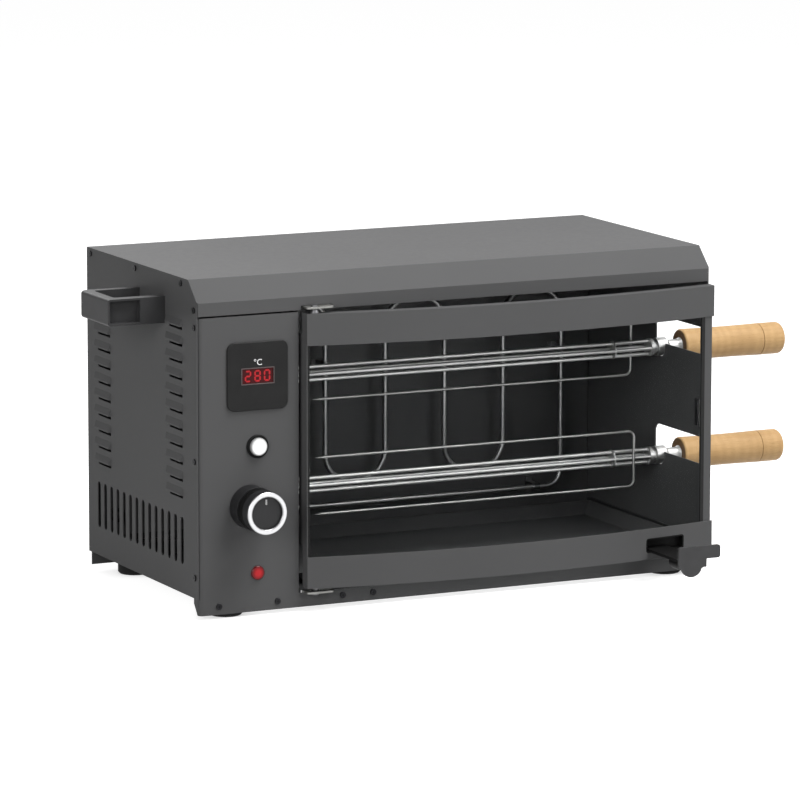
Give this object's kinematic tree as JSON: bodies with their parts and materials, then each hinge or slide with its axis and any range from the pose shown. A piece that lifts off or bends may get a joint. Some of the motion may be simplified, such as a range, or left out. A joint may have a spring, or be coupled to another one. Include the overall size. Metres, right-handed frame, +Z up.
{
  "type": "rotisserie oven",
  "caption": "Table-top rotisserie oven with turning skewers in wooden handles, a bowed glass door on a side hinge, a control column and a rear heater.",
  "frame": {"origin": "centre of the overall box, on the surface that the feet stand on", "axes": "+X from the controls towards the skewers' wooden handles, +Y from the door towards the back, +Z up"},
  "size_m": [0.812, 0.407, 0.354],
  "materials": {
    "charcoal_paint": "satin",
    "dark_paint": "satin",
    "galvanised": "matte",
    "bright_steel": "polished",
    "zinc": "satin",
    "screws": "satin",
    "black_plastic": "satin",
    "pull_plastic": "satin",
    "rubber": "matte",
    "aluminium": "polished",
    "white_plastic": "satin",
    "nylon": "satin",
    "bronze": "satin",
    "red_lens": "gloss",
    "display_smoke": "gloss",
    "board": "satin",
    "ceramic": "matte",
    "motor_case": "satin",
    "glass": "gloss",
    "wood": "satin"
  },
  "bodies": {
    "cabinet": {"front_panel": "charcoal_paint", "lid": "charcoal_paint", "left_side_panel": "charcoal_paint", "right_side_panel": "charcoal_paint", "base_pan": "dark_paint", "back_panel": "dark_paint", "partition_wall": "dark_paint", "cavity_back_wall": "dark_paint", "motor_bracket": "galvanised", "bracket_standoffs": "galvanised", "heating_element": "bright_steel", "heater_clips": "bright_steel", "upper_hinge_plate": "zinc", "lower_hinge_plate": "zinc", "hinge_pins": "zinc", "panel_screws": "screws", "handle_screws": "screws", "carry_handle": "black_plastic", "display_bezel": "black_plastic", "button_bezel": "black_plastic", "thermostat_body": "black_plastic", "catch_magnet": "black_plastic", "terminal_block": "black_plastic", "feet": "rubber", "cord_gland": "rubber", "spindle_bushes": "bronze", "pilot_lamp": "red_lens", "display_window": "display_smoke", "control_board": "board", "heater_insulators": "ceramic", "gearmotor": "motor_case"},
    "door": {"door_top_rail": "charcoal_paint", "door_bottom_rail": "charcoal_paint", "door_left_stile": "charcoal_paint", "door_right_stile": "charcoal_paint", "door_glass": "glass", "glass_seals": "rubber", "door_pull": "pull_plastic", "pull_tongue": "black_plastic", "pull_pocket": "black_plastic", "hinge_bushes": "zinc", "catch_plate": "zinc"},
    "thermostat_knob": {"knob": "black_plastic", "knob_ring": "aluminium", "thermostat_shaft": "bright_steel"},
    "push_button": {"button_cap": "white_plastic"},
    "lower_drive": {"lower_spindle": "bright_steel", "lower_gear": "nylon"},
    "upper_drive": {"upper_spindle": "bright_steel", "upper_gear": "nylon"},
    "pinion_drive": {"drive_pinion": "nylon", "motor_shaft": "bright_steel"},
    "lower_spit": {"lower_skewer": "bright_steel", "lower_wooden_handle": "wood", "lower_fork": "bright_steel"},
    "upper_spit": {"upper_skewer": "bright_steel", "upper_wooden_handle": "wood", "upper_fork": "bright_steel"},
    "tray": {"drip_tray": "dark_paint"}
  },
  "joints": [
    {"name": "door_hinge", "type": "hinge", "parent": "cabinet", "child": "door", "pos_m": [-0.2115, -0.11, 0.17], "axis": [0, 0, -1], "range_deg": [0, 110]},
    {"name": "thermostat_turn", "type": "hinge", "parent": "cabinet", "child": "thermostat_knob", "pos_m": [-0.2829, -0.1035, 0.1161], "axis": [0, 1, 0], "range_deg": [0, 270]},
    {"name": "button_press", "type": "slide", "parent": "cabinet", "child": "push_button", "axis": [0, 1, 0], "range_m": [0, 0.003], "stiffness_N_per_m": 400, "springref_m": -0.003},
    {"name": "lower_spit_turn", "type": "hinge", "parent": "cabinet", "child": "lower_drive", "pos_m": [-0.23, 0.0015, 0.112], "axis": [1, 0, 0], "continuous": true},
    {"name": "upper_spit_turn", "type": "hinge", "parent": "cabinet", "child": "upper_drive", "pos_m": [-0.23, 0.0015, 0.232], "axis": [1, 0, 0], "continuous": true},
    {"name": "pinion_turn", "type": "hinge", "parent": "cabinet", "child": "pinion_drive", "pos_m": [-0.24, 0.0015, 0.172], "axis": [1, 0, 0], "continuous": true},
    {"name": "lower_skewer_draw", "type": "slide", "parent": "lower_drive", "child": "lower_spit", "axis": [1, 0, 0], "range_m": [0, 0.008]},
    {"name": "upper_skewer_draw", "type": "slide", "parent": "upper_drive", "child": "upper_spit", "axis": [1, 0, 0], "range_m": [0, 0.008]},
    {"name": "tray_lift", "type": "slide", "parent": "cabinet", "child": "tray", "axis": [0, 0, 1], "range_m": [0, 0.02]}
  ],
  "couplings": [
    {"joint": "upper_spit_turn", "follows": "lower_spit_turn", "ratio": 1},
    {"joint": "pinion_turn", "follows": "lower_spit_turn", "ratio": -3}
  ]
}
